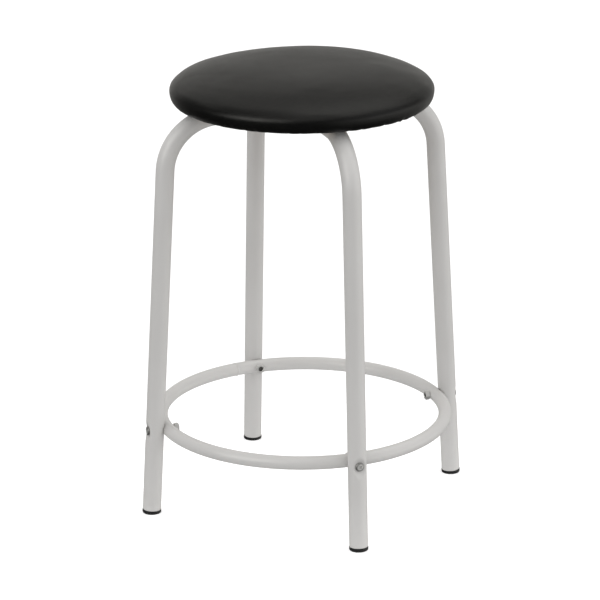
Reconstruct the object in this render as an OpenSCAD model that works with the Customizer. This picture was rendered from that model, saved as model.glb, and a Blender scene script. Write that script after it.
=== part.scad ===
// Backless round stool: two bent tube leg frames that cross under a padded
// disc seat, a footring bolted inside the legs, and a plastic plug in each foot.
// Floor level is z = 0 and the seat's axis is the Z axis. One leg stands on each
// of -Y (front), +X (right), +Y (back) and -X (left).

/* [Overall] */
// Height of the seat board's underside above the floor
seat_base_z = 500; // [440:5:560]
// Distance from the stool's axis to the middle of each foot, at the floor
foot_r = 195; // [190:1:210]
// Inward lean of the legs, in degrees
leg_lean = 3.25; // [2.5:0.25:4]

/* [Leg frames] */
// Outer diameter of the leg tube
tube_d = 22.2; // [20:0.1:25]
// Wall of the leg tube
tube_wall = 1.2; // [1:0.1:1.5]
// Radius of the shoulder bend, at the tube's centre
bend_r = 65; // [55:1:70]
// Half the length of the flat pressed where the two frames cross
press_half = 13.5; // [13.5:0.5:18]
// Length of each sloped shoulder beside that flat
press_slope = 11; // [6:1:20]

/* [Footring] */
// Height of the footring's centre
ring_z = 105; // [90:1:160]
// Outer diameter of the footring's tube
ring_d = 16; // [14:0.1:19]
// Wall of the footring's tube
ring_wall = 1.2; // [1:0.1:1.5]
// How far the footring beds into each leg
ring_bed = 3; // [1:0.5:3.5]
// Bearing of the ring's butt weld, in degrees from +X
weld_at = 100; // [94:1:170]

/* [Feet] */
// Outer diameter of a foot plug's rim
plug_d = 22.8; // [22.6:0.1:27]
// Height of a foot plug's rim
plug_h = 4.2; // [3:0.1:8]
// Length of a plug's shank inside the tube
plug_shank = 16; // [8:1:30]

/* [Fasteners] */
// Clearance hole for an M6 screw
hole_d = 6.5; // [6.2:0.1:7]
// Depth of the dimple that each ring bolt's head sits in
dimple_depth = 3.2; // [1:0.1:3.4]
// Length of a ring bolt under its head
ring_bolt_l = 35; // [34:1:45]
// Distance from the stool's axis to each seat screw
screw_r = 60; // [50:1:90]
// Length of a seat screw under its head
seat_screw_l = 33; // [30:1:33]

/* [Seat] */
// Outer radius of the covered seat
seat_r = 156.8; // [155:0.1:165]
// Height of the covered seat's crown above the board's underside
seat_h = 41; // [36:1:48]
// Radius of the board
board_r = 150; // [145:0.5:150]
// Thickness of the board
board_t = 12; // [12:0.5:15]
// Thickness of the cover
cover_t = 1; // [0.8:0.1:1.1]
// How far the cover's side curves in from the belly to the lower edge
rim_in = 7.5; // [6:0.5:8]
// Inner radius of the cover's turned-under margin
margin_r = 124; // [120:1:130]
// Staples round the margin
staple_n = 30; // [20:1:40]

/* [Hidden] */
$fn = 96;

// The leg's line meets the seat rail's line at corner_r; the bend rounds that corner
run_z = seat_base_z - tube_d/2;
corner_r = foot_r - run_z*tan(leg_lean);
bend_sweep = 90 - leg_lean;
tangent_l = bend_r*tan(bend_sweep/2);
bend_x = round((corner_r - tangent_l)*100)/100;
bend_z = run_z - bend_r;
// The tube draws down a hair where it has been bent
draw = 0.02;
leg_l = round((run_z/cos(leg_lean) - tangent_l)*100)/100;
// Where the leg's outer and inner faces stand at the footring's height
leg_x = foot_r - ring_z*tan(leg_lean);
leg_out = leg_x + tube_d/2/cos(leg_lean);
leg_in = leg_x - tube_d/2/cos(leg_lean);
head_x = leg_out - dimple_depth;
ring_r = leg_in + ring_bed - ring_d/2;
bed_d = ring_d + 4;
nut_x = ring_r - ring_d/2 - 0.1;
// Fastener sizes, M6
thread_d = 5.9;
head_d = 11;
head_h = 2.7;
nut_af = 10;
nut_h = 5.2;
press_gap = 0.05;
flat_d = 12.6;
flare = 2.1;
// Covered seat
belly_z = seat_base_z + board_t;
lip_z = seat_base_z - cover_t - 0.1;
lip_r = seat_r - rim_in;
staple_r = margin_r + 12;

// One leg and its shoulder bend on the +X side, as a solid of diameter d
module leg_side(d, start) {
    translate([bend_x, 0, bend_z]) {
        rotate([0, -leg_lean, 0]) translate([bend_r, 0, start - leg_l]) cylinder(h = leg_l - start, d = d);
        rotate([90, 0, 0]) rotate_extrude(angle = bend_sweep + 0.05, start = leg_lean - 0.05)
            translate([bend_r, 0]) circle(d = d - draw);
    }
}

// Both legs and the seat rail between them, as a solid of diameter d
module frame_path(d, start) {
    for (a = [0, 180]) rotate([0, 0, a]) leg_side(d, start);
    translate([0, 0, run_z]) rotate([0, 90, 0]) cylinder(h = 2*bend_x, d = d - draw, center = true);
}

// The tool that presses half the rail's height away where the frames cross
module press(g) {
    r = tube_d/2 + 2;
    rotate([90, 0, 0]) linear_extrude(height = tube_d + 4, center = true)
        polygon([[-press_half - press_slope - g, -r], [-press_half - g, press_gap + g],
            [press_half + g, press_gap + g], [press_half + press_slope + g, -r]]);
}

// Dimple for a ring bolt's head, on the +X leg
module head_dimple(g) {
    h = dimple_depth + 3;
    translate([head_x - g, 0, ring_z]) rotate([0, 90, 0])
        cylinder(h = h + g, d1 = flat_d + g, d2 = flat_d + g + 2*flare*(h + g));
}

// The shallow bed that the footring lies in, on the legs' inner faces
module ring_bed_cut(g) {
    translate([0, 0, ring_z]) rotate_extrude()
        translate([ring_r + ring_d/2 - bed_d/2, 0]) circle(d = bed_d + 2*g);
}

// A bent tube frame along X. side = 1 presses its rail's underside, -1 its top
module leg_frame(side) {
    difference() {
        frame_path(tube_d, plug_h + 0.02);
        translate([0, 0, run_z]) scale_side(side) press(0);
        ring_bed_cut(0);
        for (a = [0, 180]) rotate([0, 0, a]) head_dimple(0);
        difference() {
            frame_path(tube_d - 2*tube_wall, plug_h - 1);
            translate([0, 0, run_z]) scale_side(side) press(tube_wall);
            ring_bed_cut(tube_wall);
            for (a = [0, 180]) rotate([0, 0, a]) head_dimple(tube_wall);
        }
        for (a = [0, 180]) rotate([0, 0, a]) {
            translate([leg_in - 5, 0, ring_z]) rotate([0, 90, 0]) cylinder(h = leg_out - leg_in + 10, d = hole_d);
            translate([screw_r, 0, run_z - tube_d]) cylinder(h = 2*tube_d, d = hole_d);
        }
    }
}

module scale_side(side) {
    if (side > 0) children();
    else mirror([0, 0, 1]) children();
}

module leg_frame_left_right() { color("gainsboro") leg_frame(1); }

module leg_frame_front_back() { color("gainsboro") rotate([0, 0, 90]) leg_frame(-1); }

// Rolled tube hoop with one butt weld and four cross-drilled holes
module footring() {
    color("gainsboro") difference() {
        union() {
            translate([0, 0, ring_z]) rotate_extrude() translate([ring_r, 0]) circle(d = ring_d);
            translate([0, 0, ring_z]) rotate_extrude(angle = 1.2, start = weld_at - 0.6)
                translate([ring_r, 0]) circle(d = ring_d + 0.7);
        }
        translate([0, 0, ring_z]) rotate_extrude() translate([ring_r, 0]) circle(d = ring_d - 2*ring_wall);
        for (a = [0:90:270]) rotate([0, 0, a]) translate([ring_r - ring_d, 0, ring_z])
            rotate([0, 90, 0]) cylinder(h = 2*ring_d, d = hole_d);
    }
}

// Ribbed tube plug along the +X leg, cut level at the floor
module foot_plug() {
    r = plug_d/2;
    s = tube_d/2 - tube_wall;
    color("#1c1c1e") difference() {
        translate([foot_r, 0, 0]) rotate([0, -leg_lean, 0]) rotate_extrude()
            polygon(concat([[0, -1.2], [r - 2.8, -1.2]],
                [for (a = [15:15:90]) [r - 2.8 + 2.8*sin(a), 1.6 - 2.8*cos(a)]],
                [[r, plug_h], [s - 0.6, plug_h], [s - 0.6, plug_h + 2.5], [s - 0.05, plug_h + 3],
                    [s - 0.05, plug_h + 4], [s - 0.6, plug_h + 4.5], [s - 0.6, plug_h + 7], [s - 0.05, plug_h + 7.5],
                    [s - 0.05, plug_h + 8.5], [s - 0.6, plug_h + 9], [s - 0.6, plug_h + plug_shank - 1],
                    [s - 1.6, plug_h + plug_shank], [s - 2.6, plug_h + plug_shank], [s - 2.6, plug_h - 1.8], [0, plug_h - 1.8]]));
        translate([foot_r - 50, -50, -50]) cube([100, 100, 50]);
    }
}

module foot_plug_front() { rotate([0, 0, -90]) foot_plug(); }
module foot_plug_right() { foot_plug(); }
module foot_plug_back() { rotate([0, 0, 90]) foot_plug(); }
module foot_plug_left() { rotate([0, 0, 180]) foot_plug(); }

// Pan head screw with a cross recess: head above z = 0, shank below it
module pan_screw(l) {
    difference() {
        rotate_extrude() polygon(concat([[0, -l], [thread_d/2 - 0.8, -l], [thread_d/2, -l + 0.8], [thread_d/2, 0], [head_d/2, 0]],
            [for (a = [0:10:80]) [head_d/2 - 2.4 + 2.4*cos(a) - 0.6*sin(a), 0.7 + (head_h - 1)*sin(a)]],
            [[0, head_h]]));
        for (a = [45, 135]) rotate([0, 0, a]) translate([-2.7, -0.6, head_h - 1.7]) cube([5.4, 1.2, 4]);
    }
}

module ring_bolts() {
    color("silver") for (a = [0:90:270]) rotate([0, 0, a])
        translate([head_x, 0, ring_z]) rotate([0, 90, 0]) pan_screw(ring_bolt_l);
}

// Chamfered hexagon nut on the ring's inner face
module hex_nut() {
    difference() {
        intersection() {
            cylinder(h = nut_h, d = nut_af/cos(30), $fn = 6);
            rotate_extrude() polygon([[0, 0], [nut_af/2, 0], [nut_af/2 + 0.9, 0.6], [nut_af/2 + 0.9, nut_h - 0.6], [nut_af/2, nut_h], [0, nut_h]]);
        }
        translate([0, 0, -1]) cylinder(h = nut_h + 2, d = thread_d + 0.1);
    }
}

module ring_nuts() {
    color("silver") for (a = [0:90:270]) rotate([0, 0, a])
        translate([nut_x, 0, ring_z]) rotate([0, -90, 0]) rotate([0, 0, 30]) hex_nut();
}

module seat_screws() {
    color("silver") for (a = [0:90:270]) rotate([0, 0, a])
        translate([screw_r, 0, run_z - tube_d/2]) rotate([180, 0, 0]) pan_screw(seat_screw_l);
}

// Pronged nut, its flange let into the board's top
module tee_nut(g) {
    translate([0, 0, board_t - 9.5 - g]) cylinder(h = 9.5 + g, d = 7.8 + 2*g);
    translate([0, 0, board_t - 1.5 - g]) cylinder(h = 1.5 + g, d = 19 + 2*g);
    for (a = [45:90:315]) rotate([0, 0, a]) translate([7.6 - g, -1.6 - g, board_t - 8 - g])
        cube([1.2 + 2*g, 3.2 + 2*g, 8 + g]);
}

module seat_tee_nuts() {
    color("silver") for (a = [0:90:270]) rotate([0, 0, a]) translate([screw_r, 0, seat_base_z])
        difference() {
            tee_nut(0);
            translate([0, 0, -1]) cylinder(h = board_t + 2, d = thread_d + 0.1);
        }
}

// The two legs of every staple, grown by g
module staple_legs(g) {
    for (i = [0:staple_n - 1]) rotate([0, 0, (i + 0.5)*360/staple_n]) for (s = [-1, 1])
        translate([staple_r - 0.5 - g, s*4.5 - 0.35 - g, seat_base_z - cover_t - 0.6 - g])
            cube([1 + 2*g, 0.7 + 2*g, 7 + 2*g]);
}

module cover_staples() {
    color("silver") {
        staple_legs(0);
        for (i = [0:staple_n - 1]) rotate([0, 0, (i + 0.5)*360/staple_n])
            translate([staple_r - 0.5, -4.85, seat_base_z - cover_t - 0.75]) cube([1, 9.7, 0.6]);
    }
}

module seat_board() {
    color("burlywood") difference() {
        translate([0, 0, seat_base_z]) rotate_extrude()
            polygon([[0, 0], [board_r - 2, 0], [board_r, 2], [board_r, board_t], [0, board_t]]);
        for (a = [0:90:270]) rotate([0, 0, a]) translate([screw_r, 0, seat_base_z]) {
            tee_nut(0.1);
            translate([0, 0, -1]) cylinder(h = board_t, d = 8);
        }
        staple_legs(0.1);
    }
}

// Outline of the padded dome from its belly up, for radius r and height h
function dome(r, h) = [for (q = [0:5:90]) [r*pow(cos(q), 2/2.8), h*sin(q)]];

// Outline of the covered seat from the axis under the board, round the rim and up to the crown, taken in by t
function cover_outline(t) = concat([[0, lip_z + t]],
    [for (a = [0:10:80]) [lip_r + (rim_in - t)*sin(a), lip_z + t + (belly_z - lip_z - t)*(1 - cos(a))]],
    [for (p = dome(seat_r - t, seat_h - board_t - t)) [p[0], p[1] + belly_z]]);

module seat_foam() {
    color("khaki") translate([0, 0, belly_z + 0.2]) rotate_extrude()
        polygon(concat([[0, 0]], dome(seat_r - cover_t - 0.3, seat_h - board_t - cover_t - 0.5)));
}

// Vinyl pulled over the pad, down the side and under the board
module seat_cover() {
    color("#2a2a2c") difference() {
        rotate_extrude() difference() {
            polygon(cover_outline(0));
            polygon(cover_outline(cover_t));
            translate([-1, lip_z - 1]) square([margin_r + 1, 2.05]);
        }
        staple_legs(0.1);
    }
}

leg_frame_left_right();
leg_frame_front_back();
footring();
foot_plug_front();
foot_plug_right();
foot_plug_back();
foot_plug_left();
ring_bolts();
ring_nuts();
seat_board();
seat_tee_nuts();
seat_screws();
seat_foam();
seat_cover();
cover_staples();
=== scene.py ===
import math

import bmesh
import bpy
import numpy as np
from mathutils import Matrix, Vector
from mathutils.bvhtree import BVHTree


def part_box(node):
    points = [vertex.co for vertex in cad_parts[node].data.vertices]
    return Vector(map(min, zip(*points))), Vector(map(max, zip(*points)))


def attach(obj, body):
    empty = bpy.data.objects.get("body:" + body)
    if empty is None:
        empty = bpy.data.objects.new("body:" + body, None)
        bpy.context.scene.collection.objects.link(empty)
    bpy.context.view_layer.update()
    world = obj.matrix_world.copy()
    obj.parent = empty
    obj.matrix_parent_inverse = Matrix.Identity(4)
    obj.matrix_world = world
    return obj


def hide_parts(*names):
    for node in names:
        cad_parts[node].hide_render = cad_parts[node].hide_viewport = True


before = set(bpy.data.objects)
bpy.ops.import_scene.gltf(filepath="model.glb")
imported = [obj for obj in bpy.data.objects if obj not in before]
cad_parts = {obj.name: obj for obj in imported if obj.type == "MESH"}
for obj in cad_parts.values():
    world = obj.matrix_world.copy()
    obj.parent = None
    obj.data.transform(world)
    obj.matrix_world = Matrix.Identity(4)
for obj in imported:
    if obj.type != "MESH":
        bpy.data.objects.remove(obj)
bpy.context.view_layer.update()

scene = bpy.context.scene
rng = np.random.default_rng(7)
MM = 0.001

# ------------------------------------------------------------------ dimensions, millimetres
foot_r, leg_lean, tube_r, tube_wall, bend_r = 195.0, math.radians(3.25), 11.1, 1.2, 65.0
seat_base = 500.0
run_z = seat_base - tube_r
tangent_l = bend_r * math.tan((math.pi / 2 - leg_lean) / 2)
bend_x = foot_r - run_z * math.tan(leg_lean) - tangent_l
bend_z = run_z - bend_r
leg_l = run_z / math.cos(leg_lean) - tangent_l
press_half, press_slope = 13.5, 11.0
ring_z, ring_tube_r, ring_bed = 105.0, 8.0, 3.0
leg_x = foot_r - ring_z * math.tan(leg_lean)
leg_out = leg_x + tube_r / math.cos(leg_lean)
leg_in = leg_x - tube_r / math.cos(leg_lean)
head_x = leg_out - 3.2
ring_r = leg_in + ring_bed - ring_tube_r
nut_x = ring_r - ring_tube_r - 0.1
plug_r, plug_h, plug_shank = 11.4, 4.2, 16.0
screw_r = 60.0
seat_r, seat_h, board_r, board_t, margin_r, rim_in = 156.8, 41.0, 150.0, 12.0, 124.0, 7.5
dome_n, dome_h = 2.8, seat_h - board_t
belly_z = seat_base + board_t
lip_z, lip_r = seat_base - 1.1, seat_r - rim_in
staple_r, staple_n = margin_r + 12.0, 30
lo_ring, hi_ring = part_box("footring")
assert abs(hi_ring.z / MM - ring_z - ring_tube_r) < 0.6 and abs(lo_ring.x / MM + ring_r + ring_tube_r) < 0.6
lo_cover, hi_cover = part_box("seat_cover")
assert abs(hi_cover.z / MM - seat_base - seat_h) < 0.6 and abs(hi_cover.x / MM - seat_r) < 0.6


# ------------------------------------------------------------------ mesh helpers
class Mesh:
    """Gathers vertices (millimetres) and faces of one piece, then makes its object (metres)."""

    def __init__(self):
        self.v, self.f, self.n = [], [], 0

    def verts(self, p):
        p = np.asarray(p, float).reshape(-1, 3)
        self.v.append(p)
        first = self.n
        self.n += len(p)
        return first

    def faces(self, q):
        self.f.extend(q.tolist() if hasattr(q, "tolist") else q)

    def grid(self, p, close_u=False, close_v=True, cap0=False, cap1=False):
        """p is rows x columns x 3. cap0 and cap1 close the first and last row with a point at its middle."""
        nu, nv = p.shape[:2]
        base = self.verts(p)
        iu = np.arange(nu if close_u else nu - 1)
        jv = np.arange(nv if close_v else nv - 1)
        i, j = np.meshgrid(iu, jv, indexing="ij")
        i2, j2 = (i + 1) % nu, (j + 1) % nv
        self.faces(np.stack([i * nv + j, i * nv + j2, i2 * nv + j2, i2 * nv + j], -1).reshape(-1, 4) + base)
        for on, row, turn in ((cap0, 0, True), (cap1, nu - 1, False)):
            if on is not False:
                c = self.verts(p[row].mean(0) if on is True else on)
                j = np.arange(nv)
                a, b = base + row * nv + j, base + row * nv + (j + 1) % nv
                self.faces(np.stack([b, a, np.full(nv, c)] if turn else [a, b, np.full(nv, c)], -1))
        return base

    def make(self, name, smooth_deg=40.0):
        me = bpy.data.meshes.new(name)
        me.from_pydata((np.concatenate(self.v) * MM).tolist(), [], self.f)
        bm = bmesh.new()
        bm.from_mesh(me)
        bmesh.ops.recalc_face_normals(bm, faces=bm.faces)
        limit = math.radians(smooth_deg)
        for f in bm.faces:
            f.smooth = True
        for e in bm.edges:
            if len(e.link_faces) == 2 and e.calc_face_angle(0.0) > limit:
                e.smooth = False
        bm.to_mesh(me)
        bm.free()
        o = bpy.data.objects.new(name, me)
        scene.collection.objects.link(o)
        return o


def smin(a, b, k):
    h = np.clip(0.5 + 0.5 * (b - a) / k, 0, 1)
    return b * (1 - h) + a * h - k * h * (1 - h)


def smax(a, b, k):
    return -smin(-a, -b, k)


def step(a, b, x):
    t = np.clip((x - a) / (b - a), 0, 1)
    return t * t * (3 - 2 * t)


def turn_z(p, deg):
    a = math.radians(deg)
    c, s = math.cos(a), math.sin(a)
    return np.asarray(p) @ np.array([[c, s, 0], [-s, c, 0], [0, 0, 1]])


def waves(n, count, low, high, seed):
    """A smooth closed random curve of n samples, of about unit size, made of whole waves low..high."""
    r = np.random.default_rng(seed)
    a = np.arange(n) * 2 * math.pi / n
    out = np.zeros(n)
    for _ in range(count):
        out += r.normal() * np.cos(int(r.integers(low, high + 1)) * a + r.uniform(0, 2 * math.pi))
    return out / math.sqrt(count / 2)


def adopt(obj, node, mat):
    """obj takes the place of a CAD node."""
    obj.data.materials.append(mat)
    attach(obj, "root")
    if node:
        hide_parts(*([node] if isinstance(node, str) else node))
    return obj


# ------------------------------------------------------------------ material helpers
def nodes_of(name):
    m = bpy.data.materials.new(name)
    m.use_nodes = True
    nt = m.node_tree
    for n in list(nt.nodes):
        nt.nodes.remove(n)
    out = nt.nodes.new("ShaderNodeOutputMaterial")
    bsdf = nt.nodes.new("ShaderNodeBsdfPrincipled")
    nt.links.new(bsdf.outputs[0], out.inputs[0])
    return m, nt, bsdf


def add(nt, kind, **settings):
    n = nt.nodes.new(kind)
    for k, v in settings.items():
        if k.startswith("in_"):
            n.inputs[k[3:].replace("_", " ")].default_value = v
        else:
            setattr(n, k, v)
    return n


def link(nt, a, out, b, inp):
    nt.links.new(a.outputs[out], b.inputs[inp])


def object_coords(nt, scale=(1, 1, 1)):
    tc = add(nt, "ShaderNodeTexCoord")
    mp = add(nt, "ShaderNodeMapping")
    mp.inputs["Scale"].default_value = scale
    link(nt, tc, "Object", mp, "Vector")
    return mp


def noise(nt, coords, scale, detail=3.0, rough=0.55, distortion=0.0):
    n = add(nt, "ShaderNodeTexNoise")
    n.inputs["Scale"].default_value = scale
    n.inputs["Detail"].default_value = detail
    n.inputs["Roughness"].default_value = rough
    n.inputs["Distortion"].default_value = distortion
    link(nt, coords, 0, n, "Vector")
    return n


def ramp(nt, source, out, stops):
    r = add(nt, "ShaderNodeValToRGB")
    cr = r.color_ramp
    while len(cr.elements) < len(stops):
        cr.elements.new(0.5)
    for e, (at, c) in zip(cr.elements, stops):
        e.position = at
        e.color = (*c, 1) if len(c) == 3 else c
    link(nt, source, out, r, "Fac")
    return r


def remap(nt, source, out, a, b, c, d, smooth=False):
    n = add(nt, "ShaderNodeMapRange")
    n.interpolation_type = "SMOOTHSTEP" if smooth else "LINEAR"
    for i, v in zip(("From Min", "From Max", "To Min", "To Max"), (a, b, c, d)):
        n.inputs[i].default_value = v
    link(nt, source, out, n, "Value")
    return n


def mix(nt, fac, fac_out, a, a_out, b, b_out, kind="MIX"):
    n = add(nt, "ShaderNodeMix", data_type="RGBA", blend_type=kind)
    if fac is None:
        n.inputs[0].default_value = fac_out
    else:
        link(nt, fac, fac_out, n, 0)
    for src, o, i in ((a, a_out, 6), (b, b_out, 7)):
        if src is None:
            n.inputs[i].default_value = (*o, 1)
        else:
            link(nt, src, o, n, i)
    return n


def bump(nt, height, out, distance, strength=1.0, normal=None):
    b = add(nt, "ShaderNodeBump")
    b.inputs["Strength"].default_value = strength
    b.inputs["Distance"].default_value = distance
    link(nt, height, out, b, "Height")
    if normal is not None:
        link(nt, normal, "Normal", b, "Normal")
    return b


# ------------------------------------------------------------------ materials
def powder_coat():
    """White-grey powder coat: an even satin skin with fine orange peel, a few nibs and a little handling dirt low down."""
    m, nt, b = nodes_of("powder_coat_white_grey")
    oc = object_coords(nt)
    broad = noise(nt, oc, 9.0, 2.0)
    fine = noise(nt, oc, 420.0, 3.0)
    tone = ramp(nt, broad, "Fac", [(0.3, (0.542, 0.534, 0.523)), (0.7, (0.576, 0.568, 0.557))])
    speck = add(nt, "ShaderNodeTexVoronoi", feature="F1")
    speck.inputs["Scale"].default_value = 260.0
    link(nt, oc, 0, speck, "Vector")
    dots = remap(nt, speck, "Distance", 0.02, 0.06, 1.0, 0.0)
    some = noise(nt, oc, 70.0, 1.0)
    pick = remap(nt, some, "Fac", 0.62, 0.66, 0.0, 0.55)
    both = add(nt, "ShaderNodeMath", operation="MULTIPLY")
    link(nt, dots, 0, both, 0)
    link(nt, pick, 0, both, 1)
    spotted = mix(nt, both, 0, tone, "Color", None, (0.30, 0.29, 0.275))
    # floor dirt and shoe scuffs fade out above the feet
    sep = add(nt, "ShaderNodeSeparateXYZ")
    link(nt, oc, 0, sep, 0)
    low = remap(nt, sep, "Z", 0.004, 0.05, 0.22, 0.0, smooth=True)
    cloud = noise(nt, oc, 38.0, 4.0, 0.65)
    cloudy = remap(nt, cloud, "Fac", 0.42, 0.72, 0.0, 1.0)
    dirt = add(nt, "ShaderNodeMath", operation="MULTIPLY")
    link(nt, low, 0, dirt, 0)
    link(nt, cloudy, 0, dirt, 1)
    worn = mix(nt, dirt, 0, spotted, 2, None, (0.42, 0.40, 0.375))
    link(nt, worn, 2, b, "Base Color")
    rough = remap(nt, broad, "Fac", 0.25, 0.75, 0.36, 0.44)
    link(nt, rough, 0, b, "Roughness")
    peel = bump(nt, fine, "Fac", 0.00018, 0.45)
    wide = noise(nt, oc, 120.0, 1.0)
    peel2 = bump(nt, wide, "Fac", 0.0003, 0.45, peel)
    link(nt, peel2, "Normal", b, "Normal")
    b.inputs["Specular IOR Level"].default_value = 0.42
    b.inputs["Coat Weight"].default_value = 0.32
    b.inputs["Coat Roughness"].default_value = 0.2
    return m


def vinyl():
    """Black upholstery vinyl: fine pebbled grain, satin, slightly cloudy, with painted shade making the grain's valleys
    darker than its pebbles.
    """
    m, nt, b = nodes_of("black_grained_vinyl")
    oc = object_coords(nt)
    warp = noise(nt, oc, 160.0, 2.0)
    shift = mix(nt, None, 0.004, oc, 0, warp, "Color", "ADD")
    cells = add(nt, "ShaderNodeTexVoronoi", feature="DISTANCE_TO_EDGE")
    cells.inputs["Scale"].default_value = 620.0
    link(nt, shift, 2, cells, "Vector")
    pebble = remap(nt, cells, "Distance", 0.0, 0.22, 0.0, 1.0, smooth=True)
    small = noise(nt, oc, 1500.0, 2.0)
    grain = mix(nt, None, 0.25, pebble, 0, small, "Color")
    cloud = noise(nt, oc, 14.0, 4.0, 0.6)
    tone = ramp(nt, cloud, "Fac", [(0.3, (0.0044, 0.0043, 0.0041)), (0.7, (0.0056, 0.0055, 0.0052))])
    # painted shade: the grain's valleys darker than the pebbles' tops
    valley_shade = ramp(nt, pebble, 0, [(0.0, (0.003, 0.003, 0.003)), (1.0, (0.0052, 0.0051, 0.0048))])
    colour = mix(nt, None, 0.5, tone, "Color", valley_shade, "Color")
    link(nt, colour, 2, b, "Base Color")
    rough = remap(nt, cloud, "Fac", 0.3, 0.7, 0.30, 0.36)
    link(nt, rough, 0, b, "Roughness")
    n = bump(nt, grain, 2, 0.00010, 0.65)
    link(nt, n, "Normal", b, "Normal")
    b.inputs["Specular IOR Level"].default_value = 0.3
    return m


def black_plastic():
    """Moulded black polyethylene plug: fine sparked texture, scuffed grey where it meets the floor."""
    m, nt, b = nodes_of("black_moulded_plastic")
    oc = object_coords(nt)
    fine = noise(nt, oc, 900.0, 3.0)
    cloud = noise(nt, oc, 90.0, 4.0, 0.7)
    sep = add(nt, "ShaderNodeSeparateXYZ")
    link(nt, oc, 0, sep, 0)
    low = remap(nt, sep, "Z", 0.0, 0.0016, 0.75, 0.0, smooth=True)
    patch = remap(nt, cloud, "Fac", 0.4, 0.7, 0.0, 1.0)
    scuff = add(nt, "ShaderNodeMath", operation="MULTIPLY")
    link(nt, low, 0, scuff, 0)
    link(nt, patch, 0, scuff, 1)
    tone = ramp(nt, cloud, "Fac", [(0.3, (0.012, 0.012, 0.0125)), (0.7, (0.018, 0.018, 0.0185))])
    colour = mix(nt, scuff, 0, tone, "Color", None, (0.16, 0.155, 0.15))
    link(nt, colour, 2, b, "Base Color")
    rough = remap(nt, scuff, 0, 0.0, 0.75, 0.46, 0.75)
    link(nt, rough, 0, b, "Roughness")
    n = bump(nt, fine, "Fac", 0.00008, 0.5)
    link(nt, n, "Normal", b, "Normal")
    b.inputs["Specular IOR Level"].default_value = 0.4
    return m


def zinc():
    """Bright zinc plate on small fasteners: metal with a slightly cloudy passivated skin and tumbling marks."""
    m, nt, b = nodes_of("bright_zinc_plate")
    oc = object_coords(nt)
    cloud = noise(nt, oc, 260.0, 3.0)
    marks = noise(nt, oc, 2600.0, 2.0)
    tone = ramp(nt, cloud, "Fac", [(0.3, (0.70, 0.70, 0.69)), (0.7, (0.82, 0.82, 0.81))])
    # painted shade round a bolt head's edge, where its dimple starts: a darker ring standing for the shadow between the
    # head and the dimple wall
    rim = add(nt, "ShaderNodeAttribute", attribute_name="painted_shade_rim")
    both = add(nt, "ShaderNodeMix", data_type="RGBA")
    nt.links.new(rim.outputs["Fac"], both.inputs[0])
    nt.links.new(tone.outputs["Color"], both.inputs[6])
    both.inputs[7].default_value = (0.31, 0.308, 0.298, 1)
    nt.links.new(both.outputs[2], b.inputs["Base Color"])
    b.inputs["Metallic"].default_value = 0.72
    rough = remap(nt, cloud, "Fac", 0.3, 0.7, 0.48, 0.34)
    link(nt, rough, 0, b, "Roughness")
    n = bump(nt, marks, "Fac", 0.00003, 0.5)
    link(nt, n, "Normal", b, "Normal")
    return m


def bare_thread_and_bore_shade():
    """Bare steel left dark with cutting oil on cut bolt ends, darkened further as painted shade of the nut's bore;
    inside the nuts the same colour is painted shade.
    """
    m, nt, b = nodes_of("oiled_steel_and_bore_shade")
    oc = object_coords(nt)
    cloud = noise(nt, oc, 700.0, 3.0)
    tone = ramp(nt, cloud, "Fac", [(0.3, (0.12, 0.118, 0.112)), (0.7, (0.19, 0.187, 0.178))])
    link(nt, tone, "Color", b, "Base Color")
    b.inputs["Metallic"].default_value = 0.4
    rough = remap(nt, cloud, "Fac", 0.3, 0.7, 0.45, 0.6)
    link(nt, rough, 0, b, "Roughness")
    n = bump(nt, cloud, "Fac", 0.00005, 0.5)
    link(nt, n, "Normal", b, "Normal")
    return m


def plywood():
    """Birch plywood: long grain along X with growth bands, pores and a few darker figures."""
    m, nt, b = nodes_of("birch_plywood")
    long = object_coords(nt, (1.0, 14.0, 14.0))
    oc = object_coords(nt)
    bands = noise(nt, long, 9.0, 4.0, 0.6, 0.6)
    fibre = noise(nt, object_coords(nt, (1.0, 40.0, 40.0)), 55.0, 3.0, 0.6)
    tone = ramp(nt, bands, "Fac", [(0.28, (0.50, 0.335, 0.19)), (0.5, (0.64, 0.465, 0.29)), (0.75, (0.72, 0.55, 0.37))])
    dark = ramp(nt, fibre, "Fac", [(0.35, (0.62, 0.56, 0.5)), (0.6, (1.0, 1.0, 1.0))])
    colour = mix(nt, None, 0.55, tone, "Color", dark, "Color", "MULTIPLY")
    spots = noise(nt, oc, 26.0, 3.0)
    stain = ramp(nt, spots, "Fac", [(0.45, (1, 1, 1)), (0.8, (0.78, 0.72, 0.66))])
    final = mix(nt, None, 0.6, colour, 2, stain, "Color", "MULTIPLY")
    link(nt, final, 2, b, "Base Color")
    rough = remap(nt, fibre, "Fac", 0.3, 0.7, 0.62, 0.78)
    link(nt, rough, 0, b, "Roughness")
    n = bump(nt, fibre, "Fac", 0.0001, 0.5)
    link(nt, n, "Normal", b, "Normal")
    b.inputs["Specular IOR Level"].default_value = 0.3
    return m


def foam():
    """Cut polyurethane foam: pale yellow open cells."""
    m, nt, b = nodes_of("polyurethane_foam")
    oc = object_coords(nt)
    cell = add(nt, "ShaderNodeTexVoronoi", feature="F1")
    cell.inputs["Scale"].default_value = 900.0
    link(nt, oc, 0, cell, "Vector")
    tone = ramp(nt, cell, "Distance", [(0.1, (0.50, 0.42, 0.22)), (0.55, (0.83, 0.76, 0.52))])
    link(nt, tone, "Color", b, "Base Color")
    b.inputs["Roughness"].default_value = 0.95
    n = bump(nt, cell, "Distance", 0.0004, 0.8)
    link(nt, n, "Normal", b, "Normal")
    return m


PAINT, VINYL, PLASTIC, ZINC, WOOD, FOAM = powder_coat(), vinyl(), black_plastic(), zinc(), plywood(), foam()
THREAD_AND_BORE_SHADE = bare_thread_and_bore_shade()


# ------------------------------------------------------------------ leg frames
arc_l = bend_r * (math.pi / 2 - leg_lean)
half_l = bend_x + arc_l + leg_l - plug_h


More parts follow.
